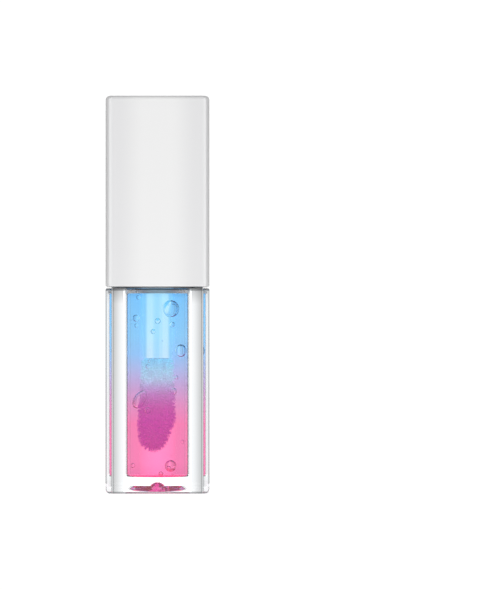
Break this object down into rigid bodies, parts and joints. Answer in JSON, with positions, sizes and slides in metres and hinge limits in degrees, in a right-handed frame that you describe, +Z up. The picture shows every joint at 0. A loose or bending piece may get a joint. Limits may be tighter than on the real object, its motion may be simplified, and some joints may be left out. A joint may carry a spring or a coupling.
{
  "type": "lip gloss tube",
  "caption": "Square lip gloss tube: thick clear bottle with two-tone gloss, white screw cap, and a flocked doe-foot applicator that draws out through a wiper.",
  "frame": {"origin": "centre of the base, at the table, on the plane of its flat foot", "axes": "+Z up the tube to the cap's top; +X and +Y square to the flat sides; +X is the side that the applicator's slanted face looks towards"},
  "size_m": [0.021, 0.021, 0.0803],
  "materials": {
    "clear_bottle": "polished",
    "wiper_plastic": "satin",
    "pink_gloss": "polished",
    "blue_gloss": "polished",
    "ring_foam": "matte",
    "white_cap": "gloss",
    "inner_cap_plastic": "satin",
    "rod_plastic": "satin",
    "core_plastic": "matte",
    "flock": "matte"
  },
  "bodies": {
    "bottle": {"bottle": "clear_bottle", "wiper": "wiper_plastic", "gloss_pink": "pink_gloss", "gloss_blue": "blue_gloss"},
    "seal": {"sealing_ring": "ring_foam"},
    "cap": {"cap_shell": "white_cap", "inner_cap": "inner_cap_plastic", "applicator_rod": "rod_plastic", "applicator_core": "core_plastic", "applicator_flock": "flock"}
  },
  "joints": [
    {"name": "cap_lift", "type": "slide", "parent": "bottle", "child": "seal", "axis": [0, 0, 1], "range_m": [0, 0.048], "deforming": ["applicator_flock", "gloss_pink", "gloss_blue"]},
    {"name": "cap_unscrew", "type": "hinge", "parent": "seal", "child": "cap", "pos_m": [0, 0, 0.0553], "axis": [0, 0, 1], "range_deg": [0, 540]}
  ]
}
